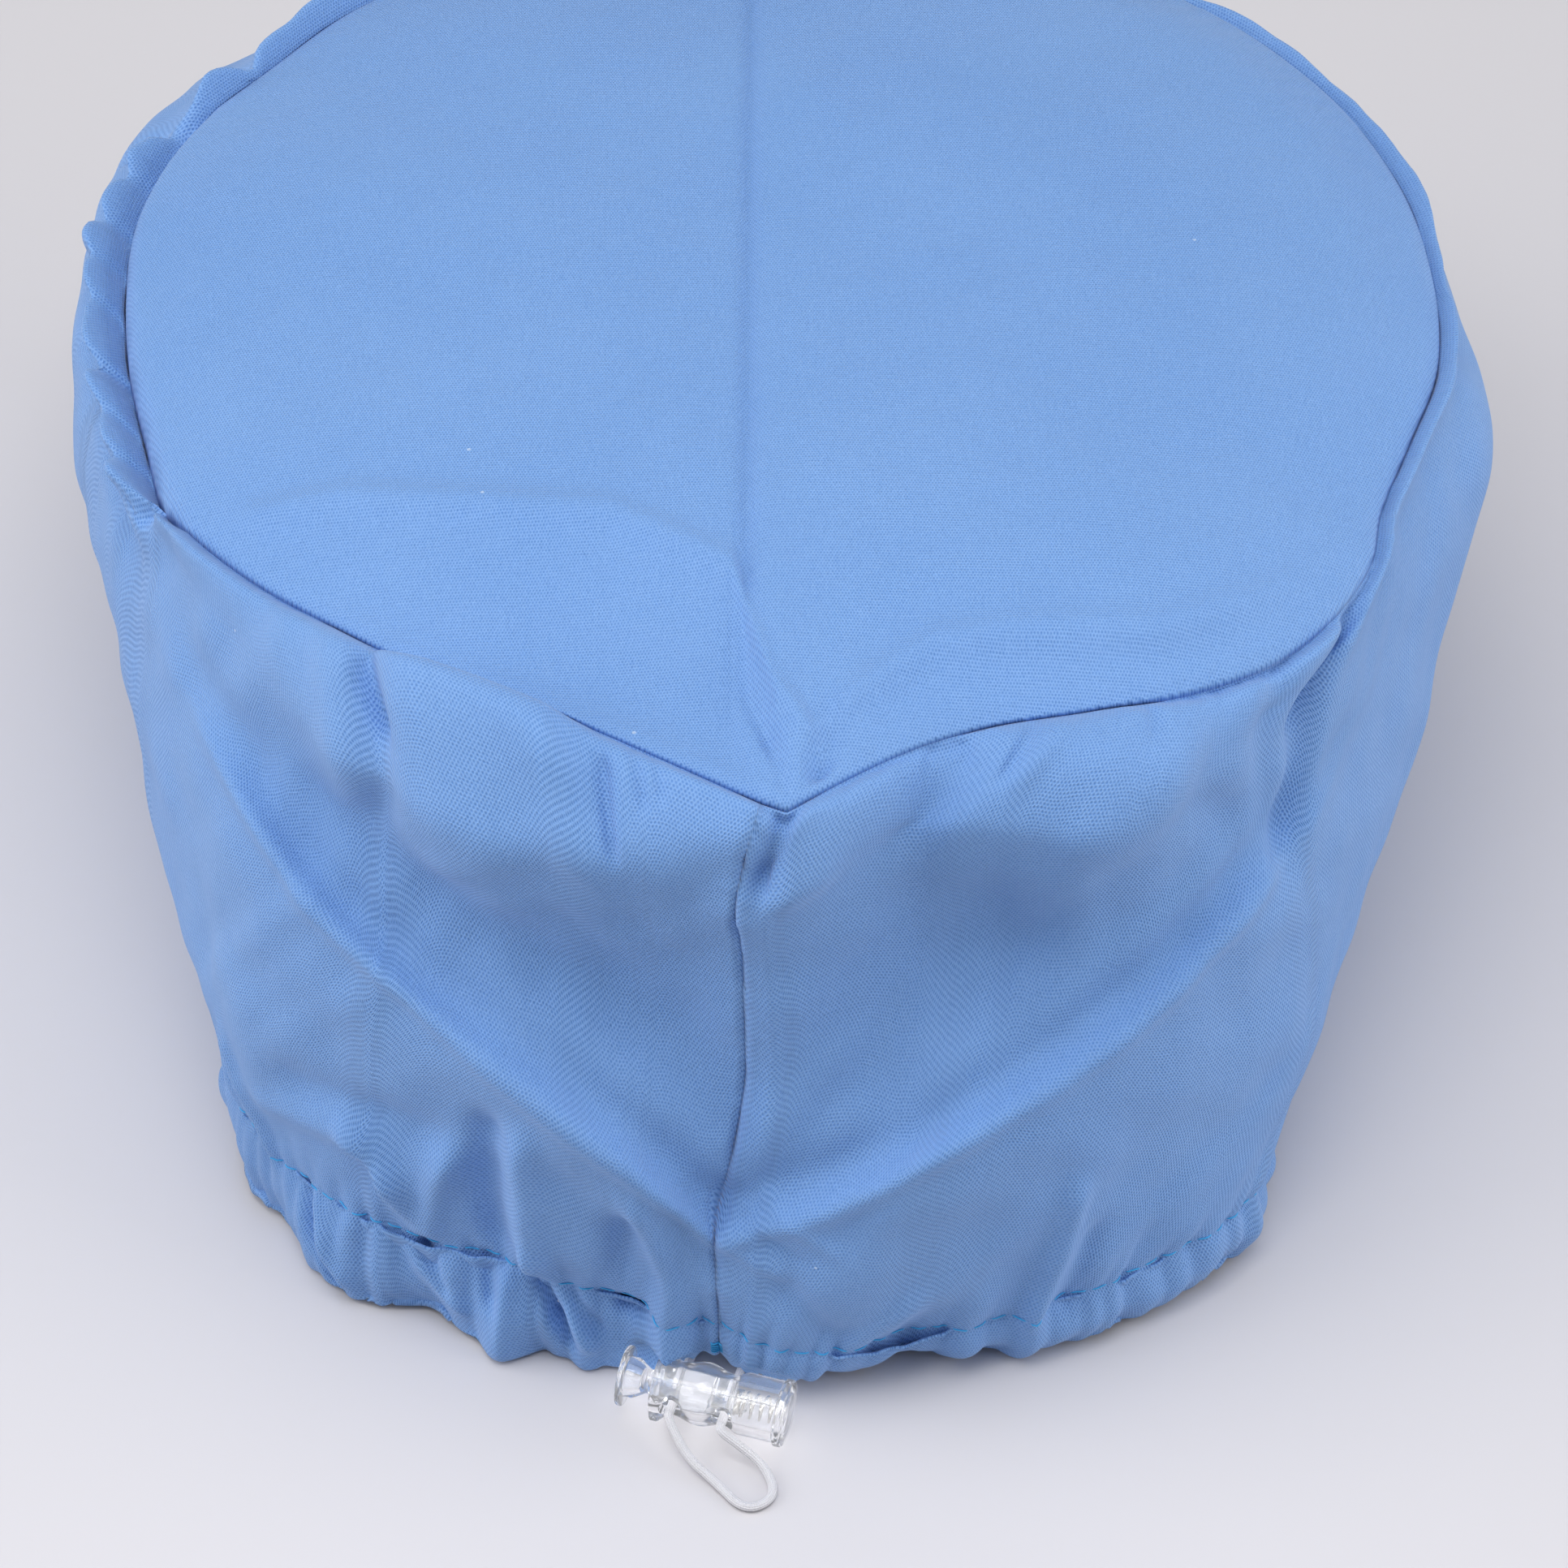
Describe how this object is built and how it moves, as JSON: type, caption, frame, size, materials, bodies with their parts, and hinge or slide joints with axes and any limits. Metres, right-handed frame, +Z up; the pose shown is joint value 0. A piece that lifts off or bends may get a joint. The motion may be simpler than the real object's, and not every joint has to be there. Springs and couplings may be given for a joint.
{
  "type": "surgical scrub cap",
  "caption": "Cotton scrub cap with a domed crown, tapering sides, a gathered drawcord hem and a clear two-hole spring cord lock.",
  "frame": {"origin": "middle of the cap's footprint on the table, at the height of the hem's lower edge, the free cord loop left out", "axes": "+Z up, +Y towards the forehead, +X towards the wearer's right"},
  "size_m": [0.21, 0.2656, 0.1119],
  "materials": {
    "cotton": "light-blue plain-weave cotton poplin, matt",
    "elastic": "white round knitted elastic, slightly translucent",
    "clear_plastic": "clear moulded polycarbonate, glossy",
    "spring_steel": "bright drawn spring wire"
  },
  "bodies": {
    "cap": {"crown_panel": "cotton", "side_panel_left": "cotton", "side_panel_right": "cotton", "hem_casing_left": "cotton", "hem_casing_right": "cotton", "drawcord": "elastic"},
    "lock": {"lock_barrel": "clear_plastic", "lock_spring": "spring_steel", "cord_strand_left": "elastic", "cord_strand_right": "elastic", "cord_loop": "elastic"},
    "plunger": {"lock_plunger": "clear_plastic"}
  },
  "joints": [
    {"name": "lock_slide", "type": "slide", "parent": "cap", "child": "lock", "axis": [-0.2823, -0.9593, 0], "range_m": [0, 0.01], "deforming": ["cord_strand_left", "cord_strand_right", "cord_loop"]},
    {"name": "plunger_press", "type": "slide", "parent": "lock", "child": "plunger", "axis": [0.9593, -0.2823, 0], "range_m": [0, 0.0022], "stiffness_N_per_m": 400, "springref_m": -0.003, "deforming": ["lock_spring"]}
  ]
}
